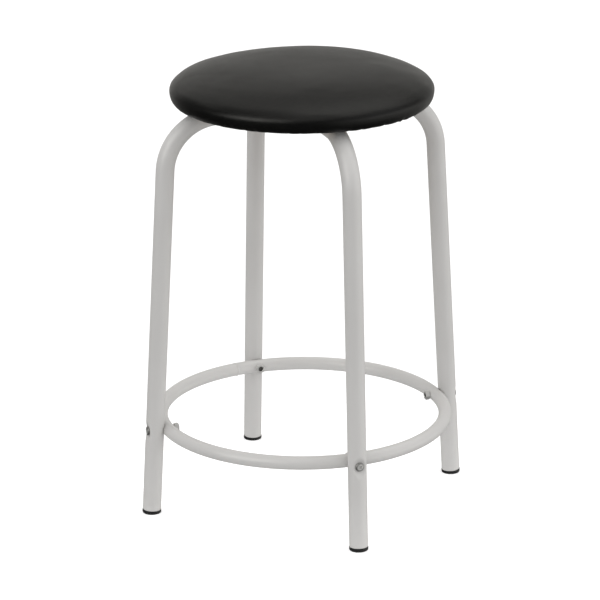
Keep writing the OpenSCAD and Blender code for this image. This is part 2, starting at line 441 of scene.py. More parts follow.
def path_at(s):
    """Centre and outward direction of the right half of a leg frame at length s from the crossing (x-z plane)."""
    if s <= bend_x:
        return (s, run_z), (0.0, 1.0)
    if s <= bend_x + arc_l:
        a = math.pi / 2 - (s - bend_x) / bend_r
        return (bend_x + bend_r * math.cos(a), bend_z + bend_r * math.sin(a)), (math.cos(a), math.sin(a))
    d, a = s - bend_x - arc_l, leg_lean
    return (
        (bend_x + bend_r * math.cos(a) + d * math.sin(a), bend_z + bend_r * math.sin(a) - d * math.cos(a)),
        (math.cos(a), math.sin(a)),
    )


def stations():
    s, out = 0.0, [0.0]
    while s < half_l - 0.01:
        x, z = path_at(s)[0]
        if s < 30:
            d = 0.9
        elif s < bend_x:
            d = 4.0
        elif s < bend_x + arc_l:
            d = 2.0
        else:
            far = abs(z - ring_z)
            d = 0.7 if far < 16 else (2.0 if far < 26 else 5.0)
            if half_l - s < 6:
                d = 1.0
        s = min(s + d, half_l)
        out.append(s)
    return out


def frame_skin(radius, shrink, side, end):
    """Rings of a leg frame's surface. shrink is how far the surface lies inside the outer one, for the dents."""
    half = stations()
    if end:  # rounded deburred tube end
        half = half[:-1] + [half_l - e for e in (0.45, 0.2, 0.05, 0.0)]
    m = 88
    phi = np.arange(m) * 2 * math.pi / m
    rows = []
    for s in [-x for x in half[::-1]] + half[1:]:
        (x, z), (nx, nz) = path_at(abs(s))
        sg = -1.0 if s < 0 else 1.0
        r = radius
        if end:
            e = half_l - abs(s)
            if e < 0.45:
                r = radius - 0.45 + math.sqrt(max(0.0, 0.45**2 - (0.45 - e) ** 2))
        rows.append(
            np.stack(
                [sg * (x + r * np.cos(phi) * nx), r * np.sin(phi), z + r * np.cos(phi) * nz], -1
            )
        )
    p = np.array(rows)
    x, y, z = p[..., 0].copy(), p[..., 1].copy(), p[..., 2].copy()
    # pressed crossing: half the height pushed in, the metal spreading a little sideways
    level = np.where(
        np.abs(x) < press_half,
        0.05 + shrink,
        0.05 + shrink - (np.abs(x) - press_half) / press_slope * (tube_r + 2),
    )
    level = np.where(np.abs(x) > press_half + press_slope + 4, -40.0, level)
    zz = side * (z - run_z)
    near = (np.abs(x) < 40) & (z > bend_z)
    pushed = smax(zz, level, 1.4)
    spread = 1 + 0.10 * step(press_half + 9, press_half - 4, np.abs(x)) * step(-6, 3, zz)
    zz = np.where(near, pushed, zz)
    y = np.where(near, y * spread, y)
    z = run_z + side * zz
    # dimple for the ring bolt's head
    low = z < bend_z
    axis_x = foot_r - z * math.tan(leg_lean)
    ax = np.abs(x)
    rho = np.sqrt(y**2 + (z - ring_z) ** 2)
    limit = head_x - shrink + np.maximum(0, smax(rho - 6.3 - shrink * 0.4, np.zeros_like(rho), 0.9)) / 2.1
    dent = low & (ax > axis_x - 1) & (rho < 24)
    ax = np.where(dent, smin(ax, limit, 0.9), ax)
    # bed that the footring lies in
    dz = z - ring_z
    bed_r = ring_tube_r + 2.0 + shrink
    centre_r = ring_r + ring_tube_r + shrink - bed_r
    reach = centre_r + np.sqrt(np.maximum(bed_r**2 - dz**2, 1e-6))
    rr = np.sqrt(ax**2 + y**2)
    bed = low & (ax < axis_x + 1) & (np.abs(dz) < bed_r)
    new_r = smax(rr, reach, 0.4)
    k = np.where(bed, new_r / np.maximum(rr, 1e-6), 1.0)
    ax, y = ax * k, y * k
    x = np.sign(x) * ax
    return np.stack([x, y, z], -1)


def leg_frame(name, node, side, turned):
    outer = frame_skin(tube_r, 0.0, side, True)
    inner = frame_skin(tube_r - tube_wall, tube_wall, side, False)[::-1]
    # one closed skin: outside, round the deburred ends, and back through the inside
    p = np.concatenate([outer, inner])
    if turned:
        p = np.stack([-p[..., 1], p[..., 0], p[..., 2]], -1)
    g = Mesh()
    g.grid(p, close_u=True)
    o = g.make(name)
    return adopt(o, node, PAINT)


frame_lr = leg_frame("leg_frame_left_right_tube", "leg_frame_left_right", 1, False)
frame_fb = leg_frame("leg_frame_front_back_tube", "leg_frame_front_back", -1, True)


# ------------------------------------------------------------------ footring
def footring():
    weld = 100.0
    az = []
    a = 0.0
    while a < 360.0:
        az.append(a)
        off = abs((a - weld + 180) % 360 - 180)
        a += 0.09 if off < 1.6 else (0.35 if off < 4 else 0.75)
    az = np.array(az)
    m = 56
    phi = np.arange(m) * 2 * math.pi / m
    th = np.radians(az)
    off = (az - weld + 180) % 360 - 180
    arc = np.radians(off) * ring_r
    wob = 0.25 * np.sin(phi * 5 + 1.0) + 0.2 * np.sin(phi * 9 + 4.0) + 0.15 * np.sin(phi * 2)
    lump = 1 + 0.25 * np.sin(phi * 14 + 0.6) + 0.15 * np.sin(phi * 23)
    bead = 0.42 * np.exp(-(((arc[:, None] - wob[None, :]) / 1.05) ** 2)) * lump[None, :]
    groove = -0.07 * np.exp(-(((np.abs(arc[:, None] - wob[None, :]) - 2.2) / 0.5) ** 2))
    r = ring_tube_r + bead + groove
    # the roll-bent hoop is a few hundredths oval
    R = ring_r + 0.12 * np.cos(2 * th + 0.7)[:, None] + r * np.cos(phi)[None, :]
    Z = ring_z + r * np.sin(phi)[None, :]
    outer = np.stack([R * np.cos(th)[:, None], R * np.sin(th)[:, None], Z], -1)
    g = Mesh()
    g.grid(outer, close_u=True)
    o = g.make("footring_tube")
    return adopt(o, "footring", PAINT)


ring = footring()


# ------------------------------------------------------------------ foot plugs
def plug_mesh(name, node, bearing, seed):
    s = tube_r - tube_wall
    prof = [(0.0, 0.75), (2.6, 0.75), (3.1, 0.55), (3.3, -1.2)]
    prof += [(5.6, -1.2), (5.9, -0.2), (6.9, -0.2), (7.2, -1.2)]
    prof += [(plug_r - 2.8, -1.2)]
    prof += [(plug_r - 2.8 + 2.8 * math.sin(a), 1.6 - 2.8 * math.cos(a)) for a in np.radians(np.arange(8, 91, 6.8))]
    prof += [(plug_r, 2.2), (plug_r, 3.0), (plug_r, plug_h - 0.5)]
    prof += [(plug_r - 0.5 + 0.5 * math.cos(a), plug_h - 0.5 + 0.5 * math.sin(a)) for a in np.radians((30, 60, 90))]
    prof += [(s - 0.6, plug_h), (s - 0.6, plug_h + 2.5), (s - 0.05, plug_h + 3), (s - 0.05, plug_h + 4)]
    prof += [(s - 0.6, plug_h + 4.5), (s - 0.6, plug_h + 7), (s - 0.05, plug_h + 7.5), (s - 0.05, plug_h + 8.5)]
    prof += [(s - 0.6, plug_h + 9), (s - 0.6, plug_h + 15), (s - 1.6, plug_h + 16), (s - 2.6, plug_h + 16)]
    prof += [(s - 2.6, plug_h - 1.8), (0.0, plug_h - 1.8)]
    m = 72
    phi = np.arange(m) * 2 * math.pi / m
    rows = []
    for r, z in prof[1:-1]:
        rows.append(np.stack([r * np.cos(phi), r * np.sin(phi), np.full(m, z)], -1))
    p = np.array(rows)
    caps = np.array([[0, 0, prof[0][1]], [0, 0, prof[-1][1]]])
    # stand it along the leaning leg and press its underside flat on the floor
    c, sn = math.cos(leg_lean), math.sin(leg_lean)

    def place(q):
        x, y, z = q[..., 0], q[..., 1], q[..., 2]
        return np.stack([foot_r + c * x - sn * z, y, sn * x + c * z], -1)

    p, caps = place(p), place(caps)
    flat = p[..., 2] < 1.2
    p[..., 2] = np.where(flat, np.maximum(p[..., 2], 0.0), p[..., 2])
    p, caps = turn_z(p, bearing), turn_z(caps, bearing)
    g = Mesh()
    g.grid(p, cap0=caps[0], cap1=caps[1])
    return adopt(g.make(name, 50), node, PLASTIC)


plugs = [
    plug_mesh("foot_plug_front_moulding", "foot_plug_front", -90, 1),
    plug_mesh("foot_plug_right_moulding", "foot_plug_right", 0, 2),
    plug_mesh("foot_plug_back_moulding", "foot_plug_back", 90, 3),
    plug_mesh("foot_plug_left_moulding", "foot_plug_left", 180, 4),
]


# ------------------------------------------------------------------ fasteners
def screw(g, length, place, spin):
    """Pan head screw with a tapered cross recess and rolled threads: head above z = 0, shank below."""
    m = 96
    phi = np.arange(m) * 2 * math.pi / m
    head_r, head_h = 5.5, 2.7
    rows = []

    def row(r, z):
        rows.append((np.full(m, float(r)) if np.isscalar(r) else r, np.full(m, float(z)) if np.isscalar(z) else z))

    # threaded shank, from its tip up to the plain neck
    root, crest = 2.45, 2.95
    zs = np.arange(-length, -length + 18.0, 0.125)
    for z in zs:
        t = (z - phi / (2 * math.pi)) % 1.0
        tri = np.clip(1.25 - np.abs(t - 0.5) * 2 * 1.5, 0.0, 1.0)
        run_in = min(1.0, (z + length) / 0.9)
        run_out = min(1.0, max(0.0, (-length + 18.0 - z) / 1.5))
        base = root + (crest - root) * tri * run_out * (0.35 + 0.65 * run_in) * (0.6 + 0.4 * run_in)
        base = base + (1 - run_out) * (2.75 - root)
        base = np.minimum(base, 2.15 + (z + length) * 1.1)
        row(base, z)
    row(2.75, -1.2)
    row(2.75, -0.15)
    row(2.9, 0.0)
    row(head_r - 0.3, 0.0)
    row(head_r - 0.08, 0.06)
    row(head_r, 0.25)
    row(head_r, 0.6)
    for a in np.radians(np.arange(6, 91, 7)):
        row(head_r - 2.3 + 2.3 * math.cos(a), 0.7 + (head_h - 0.75) * math.sin(a))
    for r in np.arange(3.1, 0.05, -0.12):
        row(r, head_h - 0.05 * (r / 3.2) ** 2)
    p = np.array([np.stack([r * np.cos(phi), r * np.sin(phi), z], -1) for r, z in rows])
    # cross recess: four tapering wings, deepest in the middle
    x, y = p[..., 0], p[..., 1]
    top = p[..., 2] > 1.6
    r = np.hypot(x, y)
    across = np.minimum(np.abs(x), np.abs(y))
    width = 0.62 - 0.07 * r
    wing = step(0.16, -0.02, across - width) * step(2.95, 2.6, r)
    middle = step(1.4, 1.0, r)
    depth = np.maximum(wing * (1.7 - 0.27 * r), middle * 1.6)
    p[..., 2] -= np.where(top, np.maximum(depth, 0), 0)
    p = turn_z(p.reshape(-1, 3), spin).reshape(p.shape)
    tip = np.array([[0, 0, -length - 0.05]])
    mid = np.array([[0, 0, head_h - 1.72]])
    g.grid(place(p), cap0=place(tip)[0], cap1=place(mid)[0])


def darken(obj, test):
    """Gives the faces whose middle passes the test, in millimetres round the Z axis, the dark bare steel that is partly
    painted shade.
    """
    obj.data.materials.append(THREAD_AND_BORE_SHADE)
    for f in obj.data.polygons:
        c = f.center / MM
        side = max(abs(c.x), abs(c.y))
        if test(side, math.hypot(min(abs(c.x), abs(c.y)), c.z - ring_z)):
            f.material_index = 1
    return obj


def ring_bolts():
    g = Mesh()
    for i, bearing in enumerate((0, 90, 180, 270)):

        def place(q, bearing=bearing):
            q = np.asarray(q)
            w = np.stack([head_x + q[..., 2], q[..., 1], ring_z - q[..., 0]], -1)
            return turn_z(w.reshape(-1, 3), bearing).reshape(w.shape)

        screw(g, 35.0, place, (20, 47, 8, 33)[i])
    o = adopt(g.make("ring_bolt_set", 35), "ring_bolts", ZINC)
    # painted shade: each ring bolt head's outer edge gets a darker ring, for the shadow of its dimple
    rim = o.data.attributes.new("painted_shade_rim", "FLOAT", "POINT")
    for v, d in zip(o.data.vertices, rim.data):
        c = v.co / MM
        out = math.hypot(min(abs(c.x), abs(c.y)), c.z - ring_z)
        if max(abs(c.x), abs(c.y)) > head_x - 0.05:
            d.value = min(1.0, max(0.0, (out - 3.1) / 1.3))
    # cut bolt ends: bare steel, and painted dark as shade where they sit inside the nut
    return darken(o, lambda along, out: along < head_x - 35.0 + 1.2)


def seat_screws():
    g = Mesh()
    for i, bearing in enumerate((0, 90, 180, 270)):

        def place(q, bearing=bearing):
            q = np.asarray(q)
            w = np.stack([screw_r + q[..., 0], -q[..., 1], run_z - tube_r - q[..., 2]], -1)
            return turn_z(w.reshape(-1, 3), bearing).reshape(w.shape)

        screw(g, 33.0, place, (12, 70, 41, 25)[i])
    return adopt(g.make("seat_screw_set", 35), "seat_screws", ZINC)


def ring_nuts():
    g = Mesh()
    af, h, bore = 5.0, 5.2, 2.98
    m = 96
    phi = np.arange(m) * 2 * math.pi / m
    hexr = af / np.cos((phi % (math.pi / 3)) - math.pi / 6)
    for i, bearing in enumerate((0, 90, 180, 270)):
        rows = []
        levels = [0.0, 0.12, 0.24, 0.36, 0.5, 0.7, 1.2, 2.6, 4.0, 4.5, 4.7, 4.84, 4.96, 5.08, 5.2]
        rows.append((np.full(m, bore + 0.45), 0.0))
        for z in levels:
            e = min(z, h - z)
            cone = af * 0.975 + e / math.tan(math.radians(30))
            rows.append((smin(hexr, np.full(m, cone), 0.08) - 0.02, z))
        rows.append((np.full(m, bore + 0.45), h))
        rows.append((np.full(m, bore), h - 0.45))
        rows.append((np.full(m, bore), 0.45))
        p = np.array([np.stack([r * np.cos(phi), r * np.sin(phi), np.full(m, z)], -1) for r, z in rows])
        p = turn_z(p.reshape(-1, 3), (33, 41, 29, 24)[i]).reshape(p.shape)
        w = np.stack([nut_x - p[..., 2], p[..., 1], ring_z + p[..., 0]], -1)
        g.grid(turn_z(w.reshape(-1, 3), bearing).reshape(w.shape), close_u=True)
    o = adopt(g.make("ring_nut_set", 28), "ring_nuts", ZINC)
    # painted shade: the inside of each nut's bore
    return darken(o, lambda along, out: out < 2.99)


bolts, screws, nuts = ring_bolts(), seat_screws(), ring_nuts()


# ------------------------------------------------------------------ seat cover
def dome(q, rad, high):
    """Point (r, height) of the padded dome at angle q: 0 at its widest, 90 degrees at the crown."""
    return rad * np.cos(q) ** (2 / dome_n), high * np.sin(q)


def cover_profile():
    """(r, z) from near the crown out over the shoulder, down the side, under the lip and in to the margin's edge."""
    dense = np.radians(np.linspace(90, 0, 4000))
    r, z = dome(dense, seat_r, dome_h)
    arc = np.concatenate([[0], np.cumsum(np.hypot(np.diff(r), np.diff(z)))])
    want = []
    s = 1.2
    while s < arc[-1] - 0.4:
        want.append(s)
        rr = np.interp(s, arc, r)
        s += 3.2 if rr < 110 else (2.0 if rr < 140 else 1.0)
    pts = [(np.interp(s, arc, r), belly_z + np.interp(s, arc, z)) for s in want]
    for a in np.radians(np.linspace(90, 0, 22)):
        pts.append((lip_r + rim_in * math.sin(a), lip_z + (belly_z - lip_z) * (1 - math.cos(a))))
    for r in np.arange(lip_r - 0.9, margin_r + 1.5, -1.0):
        pts.append((r, lip_z))
    pts.append((margin_r + 0.8, lip_z + 0.02))
    return np.array(pts)


def cover_mesh():
    prof = cover_profile()
    seg = np.hypot(np.diff(prof[:, 0]), np.diff(prof[:, 1]))
    arc = np.concatenate([[0], np.cumsum(seg)])
    belly = int(np.argmax(prof[:, 0]))
    v = arc - arc[belly]  # length below the belly, millimetres
    lip_v = v[belly + 21]  # where the side has turned under
    m = 640
    th = np.arange(m) * 2 * math.pi / m
    # profile normals, pointing out of the pad
    d = np.gradient(prof, arc, axis=0)
    nr, nz = -d[:, 1], d[:, 0]
    k = np.hypot(nr, nz)
    nr, nz = nr / k, nz / k
    # gathers: one crease per pleat, uneven in place, depth, width and lean. The vinyl is pulled tight, so a
    # gather starts close to the lower edge, shows there as a low scallop and lies folded over underneath.
    count = 56
    r = np.random.default_rng(21)
    at = (np.arange(count) + r.uniform(-0.4, 0.4, count)) * 2 * math.pi / count
    deep = np.clip(r.normal(1.0, 0.35, count), 0.25, 1.8)
    wide = r.uniform(1.0, 2.0, count)
    start = r.uniform(4.0, 10.0, count)
    lean = r.normal(0, 0.05, count)
    fold = np.where(r.uniform(size=count) < 0.78, 1.0, -1.0)
    P = np.zeros((len(prof), m, 3))
    order = np.argsort(at)
    at, deep, wide, start, lean, fold = (q[order] for q in (at, deep, wide, start, lean, fold))
    # the vinyl was pulled evenly round the left and front, where the edge is nearly smooth, and less so elsewhere
    even = (at - math.radians(215) + math.pi) % (2 * math.pi) - math.pi
    calm = 1.15 - 0.85 * np.exp(-((even / math.radians(62)) ** 4))
    calm = calm * np.clip(1.0 + 0.45 * np.sin(at * 5.0 + 0.6) + 0.25 * np.sin(at * 11.0), 0.3, 1.6)
    broad = waves(m, 6, 2, 5, 3)
    fine = waves(m, 10, 9, 26, 4)
    trim = 1.7 * waves(m, 7, 3, 9, 5) + 0.8 * waves(m, 9, 12, 30, 6)
    for i, (pr, pz) in enumerate(prof):
        vv = v[i]
        disp = np.zeros(m)
        if vv > -4:
            centre = at + lean * (vv - 8) / 30
            delta = (th[:, None] - centre[None, :] + math.pi) % (2 * math.pi) - math.pi
            near = np.argmin(np.abs(delta), 1)
            dl = delta[np.arange(m), near] * pr
            # width of the bulge on this side of the nearest crease
            nxt = np.where(dl > 0, (near + 1) % count, (near - 1) % count)
            gap = np.abs(((centre[nxt] - centre[near] + math.pi) % (2 * math.pi)) - math.pi) * pr
            u = np.clip(np.abs(dl) / np.maximum(gap / 2, 1e-6), 0, 1)
            bulge = np.sin(u * math.pi / 2) ** 1.2
            crease = np.exp(-((np.abs(dl) / wide[near]) ** 1.5))
            on = step(start[near], start[near] + 9.0, np.full(m, vv))
            faint = step(-4, 8, np.full(m, vv)) * 0.06
            shape = calm[near] * (0.3 * bulge - 0.55 * crease)
            if vv < lip_v:
                disp = deep[near] * np.maximum(on, faint) * shape
            else:
                flat = step(lip_v, lip_v + 8, np.full(m, vv))
                # under the board the gathers lie folded over, thick on one side and sharp on the other
                w = np.where(dl * fold[near] > 0, dl * fold[near], gap + dl * fold[near])
                w = np.clip(w / np.maximum(gap, 1e-6), 0, 1)
                flap = 1.15 * np.exp(-((w * gap / 5.5) ** 2)) * step(0.0, 0.5, w * gap) + 0.1
                disp = deep[near] * ((1 - flat) * shape + flat * flap)
        # the pad is a little uneven by hand
        disp = disp + 0.09 * broad * step(20, 120, np.full(m, pr)) + 0.05 * fine * step(-60, -5, np.full(m, vv))
        edge = step(arc[-1] - 9, arc[-1], np.full(m, arc[i]))
        rad = pr + nr[i] * disp
        z = pz + nz[i] * disp
        # hand-trimmed inner edge
        rad = rad + edge * np.clip(trim, -0.8, 5.0)
        P[i, :, 0], P[i, :, 1], P[i, :, 2] = rad * np.cos(th), rad * np.sin(th), z
    return P, v, prof, lip_v


def simulated_pad():
    """A closed, slightly small pad swollen by Cloth pressure, which gives the seat its soft hand-covered unevenness."""
    n, rows = 96, 26
    g = Mesh()
    q = np.radians(np.linspace(86, 0, rows))
    r, z = dome(q, seat_r - 2.0, dome_h - 1.6)
    z = z + belly_z
    low = [(lip_r + 3.4, 505.0), (lip_r + 1.0, 501.6), (lip_r - 3, 500.4), (120, 500.4), (80, 500.4), (40, 500.4)]
    r = np.concatenate([r, [a for a, _ in low]])
    z = np.concatenate([z, [b for _, b in low]])
    th = np.arange(n) * 2 * math.pi / n
    p = np.stack([r[:, None] * np.cos(th), r[:, None] * np.sin(th), np.repeat(z[:, None], n, 1)], -1)
    g.grid(p, cap0=True, cap1=True)
    o = g.make("pad_swell")
    rem = o.modifiers.new("remesh", "REMESH")
    rem.mode, rem.voxel_size = "VOXEL", 0.0055
    dg = bpy.context.evaluated_depsgraph_get()
    me = bpy.data.meshes.new_from_object(o.evaluated_get(dg))
    o.modifiers.clear()
    o.data = me
    rest = np.array([v.co for v in me.vertices])
    pin = o.vertex_groups.new(name="pin")
    for v in me.vertices:
        down = 1.0 - min(1.0, max(0.0, (v.co.z - 0.504) / 0.008))
        if down > 0:
            pin.add([v.index], down, "REPLACE")
    c = o.modifiers.new("cloth", "CLOTH")
    s = c.settings
    s.quality = 6
    s.mass = 0.35
    s.tension_stiffness = s.compression_stiffness = 18
    s.shear_stiffness = 6
    s.bending_stiffness = 1.2
    s.use_pressure = True
    s.uniform_pressure_force = 4.0
    s.effector_weights.gravity = 0
    s.vertex_group_mass = "pin"
    s.pin_stiffness = 4.0
    c.collision_settings.use_collision = False
    c.point_cache.frame_start, c.point_cache.frame_end = 1, 20
    for f in range(1, 21):
        scene.frame_set(f)
    dg = bpy.context.evaluated_depsgraph_get()
    e = o.evaluated_get(dg)
    co = np.array([v.co for v in e.data.vertices])
    scene.frame_set(1)
    move = co - rest
    far = np.linalg.norm(move, axis=1)
    cap = 0.006
    print("pad swell: moved mean %.2f max %.2f mm over %d points" % (far.mean() / MM, far.max() / MM, len(rest)))
    move *= np.minimum(1, cap / np.maximum(far, 1e-9))[:, None]
    new = rest + move
    o.modifiers.clear()
    o.data.vertices.foreach_set("co", new.astype(np.float32).ravel())
    o.data.update()
    bm = bmesh.new()
    bm.from_mesh(o.data)
    bm.faces.ensure_lookup_table()
    tree = BVHTree.FromBMesh(bm)
    bm.free()
    bpy.data.objects.remove(o)
    return tree


def swell(P, v, prof):
    """Moves the dome's points by how the simulated pad differs round the circle, so the seat keeps its outline."""
    tree = simulated_pad()
    rows = np.where(v < -2)[0][::2]
    cols = np.arange(0, P.shape[1], 4)
    felt = np.zeros((len(rows), len(cols)))
    for a, i in enumerate(rows):
        d = prof[min(i + 1, len(prof) - 1)] - prof[max(i - 1, 0)]
        d = d / np.hypot(*d)
        n_r, n_z = -d[1], d[0]
        for b, j in enumerate(cols):
            t = j * 2 * math.pi / P.shape[1]
            n3 = Vector((n_r * math.cos(t), n_r * math.sin(t), n_z))
            base = Vector((prof[i, 0] * math.cos(t), prof[i, 0] * math.sin(t), prof[i, 1])) * MM
            hit = tree.ray_cast(base + n3 * 0.012, -n3, 0.03)
            if hit[0] is not None:
                felt[a, b] = (0.012 - hit[3]) / MM
    dev = felt - felt.mean(1, keepdims=True)
    print("pad swell: mean", np.round(felt.mean(1)[::8], 2), "dev", round(float(dev.std()), 3))
    fr = np.fft.rfft(dev, axis=1)
    dev = np.fft.irfft(fr * np.exp(-((np.arange(fr.shape[1]) / 14.0) ** 2)), n=dev.shape[1], axis=1)
    dev = np.clip(dev * 0.5, -0.35, 0.35)
    js = np.arange(P.shape[1]) / 4.0
    wrapped = np.concatenate([dev, dev[:, :1]], 1)
    wide = np.array([np.interp(js, np.arange(wrapped.shape[1]), row) for row in wrapped])
    full = np.array([np.interp(np.arange(len(prof)), rows, wide[:, j], right=0.0) for j in range(P.shape[1])]).T
    full *= step(0, -12, v)[:, None] * step(8, 40, prof[:, 0])[:, None]
    d = np.gradient(prof, axis=0)
    d /= np.hypot(d[:, 0], d[:, 1])[:, None]
    th = np.arange(P.shape[1]) * 2 * math.pi / P.shape[1]
    P[..., 0] += full * -d[:, 1][:, None] * np.cos(th)
    P[..., 1] += full * -d[:, 1][:, None] * np.sin(th)
    P[..., 2] += full * d[:, 0][:, None]


def seat_cover():
    P, v, prof, lip_v = cover_mesh()
    swell(P, v, prof)
    # inner face of the vinyl, 1 mm in
    gu = np.gradient(P, axis=0)
    gv = np.roll(P, -1, 1) - np.roll(P, 1, 1)
    n = np.cross(gu, gv)
    n /= np.maximum(np.linalg.norm(n, axis=2, keepdims=True), 1e-9)
    n *= np.sign((n[10, :, 2]).mean())
    inner = P - n * 0.95
    turned = int(np.argmax(v > lip_v - 3))
    pick = sorted(set(list(range(0, turned, 5)) + list(range(turned, len(prof) - 3, 2)) + list(range(len(prof) - 3, len(prof)))))
    print("seat cover: rows %d and %d" % (len(prof), len(pick)))
    low = inner[..., 2]
    under = v > lip_v - 2
    inner[under, :, 2] = np.minimum(np.maximum(low[under], P[under, :, 2] + 0.3), 499.97)
    th = np.arange(P.shape[1]) * 2 * math.pi / P.shape[1]
    rim = (P[-1] + inner[-1]) / 2 - 0.35 * np.stack([np.cos(th), np.sin(th), 0 * th], -1)
    g = Mesh()
    sheet = np.concatenate([P, rim[None], inner[pick][::-1]])
    g.grid(sheet, cap0=P[0].mean(0) + np.array([0, 0, 0.02]), cap1=inner[0].mean(0) + np.array([0, 0, 0.02]))
    o = g.make("seat_cover_vinyl", 180)
    adopt(o, "seat_cover", VINYL)
    return o


cover = seat_cover()


def seat_foam():
    """The pad under the vinyl: a domed disc of foam with softly uneven cut sides."""
    m = 180
    th = np.arange(m) * 2 * math.pi / m
    q = np.radians(np.concatenate([np.linspace(88, 50, 10), np.linspace(46, 0, 16)]))
    rr, hh = seat_r - 2.6, dome_h - 2.8
    prof = [(a, belly_z + 0.3 + b) for a, b in zip(*dome(q, rr, hh))]
    prof += [(rr - 0.6, belly_z + 0.3), (120, belly_z + 0.3), (60, belly_z + 0.3)]
    uneven = waves(m, 8, 3, 11, 9) * 0.12
    rows = [
        np.stack([(r + uneven) * np.cos(th), (r + uneven) * np.sin(th), np.full(m, z)], -1) for r, z in prof
    ]
    g = Mesh()
    g.grid(np.array(rows), cap0=np.array([0, 0, belly_z + 0.3 + hh]), cap1=np.array([0, 0, belly_z + 0.3]))
    o = g.make("seat_pad_foam", 50)
    adopt(o, "seat_foam", FOAM)
    return o


pad = seat_foam()


# ------------------------------------------------------------------ staples
def staples():
    """Flat wire staples, each a bent bar with rounded corners, driven a little unevenly."""
    g = Mesh()
    r = np.random.default_rng(33)
    w, t = 0.5, 0.3  # half widths of the wire's section
    sec = [(w, -t + 0.1), (w, t - 0.1), (w - 0.1, t), (-w + 0.1, t), (-w, t - 0.1), (-w, -t + 0.1), (-w + 0.1, -t), (w - 0.1, -t)]
    for i in range(staple_n):
        bearing = (i + 0.5) * 360 / staple_n
        line = [(-4.5, 6.0, -90), (-4.5, 0.8, -90)]
        line += [(-4.5 + 0.6 - 0.6 * math.cos(a), 0.6 - 0.6 * math.sin(a), -90 + math.degrees(a)) for a in np.radians((22, 45, 68))]
        line += [(-3.9, 0.0, 0), (0, -0.06, 0), (3.9, 0.0, 0)]
        line += [(4.5 - 0.6 + 0.6 * math.sin(a), 0.6 - 0.6 * math.cos(a), math.degrees(a)) for a in np.radians((22, 45, 68))]
        line += [(4.5, 0.8, 90), (4.5, 6.0, 90)]
        rows = []
        for y, z, deg in line:
            a = math.radians(deg)
            ny, nz = -math.sin(a), math.cos(a)
            rows.append([(x, y + ny * k, z + nz * k) for x, k in sec])
        p = np.array(rows)
        p[..., 2] += seat_base - 1.1 - 0.35
        tilt = math.radians(r.normal(0, 3.0))
        q = p.copy()
        q[..., 0] = p[..., 0] * math.cos(tilt) - p[..., 1] * math.sin(tilt)
        q[..., 1] = p[..., 0] * math.sin(tilt) + p[..., 1] * math.cos(tilt)
        q[..., 0] += staple_r + r.normal(0, 0.25)
        q[..., 2] += r.normal(0, 0.04)
        g.grid(turn_z(q.reshape(-1, 3), bearing).reshape(q.shape), cap0=True, cap1=True)
    return adopt(g.make("cover_staple_set", 40), "cover_staples", ZINC)


staple_set = staples()

# ------------------------------------------------------------------ carried-over CAD nodes
for name, mat in (("seat_board", WOOD), ("seat_tee_nuts", ZINC)):
    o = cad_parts[name]
    o.data.materials.clear()
    o.data.materials.append(mat)

# ------------------------------------------------------------------ stage, light and camera
floor_me = bpy.data.meshes.new("floor")
floor_me.from_pydata([(-60, -60, 0), (60, -60, 0), (60, 60, 0), (-60, 60, 0)], [], [(0, 1, 2, 3)])
floor = bpy.data.objects.new("floor", floor_me)
scene.collection.objects.link(floor)
fm, fnt, fb = nodes_of("pale_floor")
fcloud = noise(fnt, object_coords(fnt), 1.5, 2.0)
ftone = ramp(fnt, fcloud, "Fac", [(0.3, (0.88, 0.88, 0.88)), (0.7, (0.9, 0.9, 0.9))])
link(fnt, ftone, "Color", fb, "Base Color")
fb.inputs["Roughness"].default_value = 0.9
fb.inputs["Specular IOR Level"].default_value = 0.1
fb.inputs["Emission Color"].default_value = (1, 1, 1, 1)
fsep = add(fnt, "ShaderNodeTexCoord")
flen = add(fnt, "ShaderNodeVectorMath", operation="LENGTH")
link(fnt, fsep, "Object", flen, 0)
# painted light: the floor that shows glows brighter close to the stool, washing out its shadow there
glow = remap(fnt, flen, "Value", 0.22, 0.55, 0.36, 0.09, smooth=True)
link(fnt, glow, 0, fb, "Emission Strength")
floor_me.materials.append(fm)
floor.visible_glossy = floor.visible_diffuse = floor.visible_shadow = False
# the room's floor gives back less light than the white sweep that shows, so it's a plane of its own
under_me = bpy.data.meshes.new("floor_bounce")
under_me.from_pydata([(-60, -60, -0.001), (60, -60, -0.001), (60, 60, -0.001), (-60, 60, -0.001)], [], [(0, 1, 2, 3)])
under = bpy.data.objects.new("floor_bounce", under_me)
scene.collection.objects.link(under)
um, unt, ub = nodes_of("dim_floor")
give = 0.60
ucloud = noise(unt, object_coords(unt), 1.5, 2.0)
utone = ramp(unt, ucloud, "Fac", [(0.3, (0.88 * give,) * 3), (0.7, (0.9 * give,) * 3)])
link(unt, utone, "Color", ub, "Base Color")
ub.inputs["Roughness"].default_value = 0.9
ub.inputs["Specular IOR Level"].default_value = 0.1
ub.inputs["Emission Color"].default_value = (1, 1, 1, 1)
usep = add(unt, "ShaderNodeTexCoord")
ulen = add(unt, "ShaderNodeVectorMath", operation="LENGTH")
link(unt, usep, "Object", ulen, 0)
link(unt, remap(unt, ulen, "Value", 0.20, 0.42, 0.45, 0.0, smooth=True), 0, ub, "Emission Strength")
under_me.materials.append(um)
under.visible_camera = under.visible_glossy = False

world = bpy.data.worlds.new("studio")
scene.world = world
world.use_nodes = True
world.cycles.sampling_method = "NONE"
wn = world.node_tree
for n in list(wn.nodes):
    wn.nodes.remove(n)
tc = add(wn, "ShaderNodeTexCoord")
sep = add(wn, "ShaderNodeSeparateXYZ")
link(wn, tc, "Generated", sep, 0)


def by_height(stops):
    """Brightness by elevation: stops of (degrees above the horizon, radiance)."""
    at = [((math.sin(math.radians(e)) + 1) / 2, (c,) * 3) for e, c in stops]
    return ramp(wn, remap(wn, sep, "Z", -1.0, 1.0, 0.0, 1.0), 0, at)


def facing(v):
    n = add(wn, "ShaderNodeVectorMath", operation="DOT_PRODUCT")
    link(wn, tc, "Generated", n, 0)
    n.inputs[1].default_value = Vector(v).normalized()
    return n


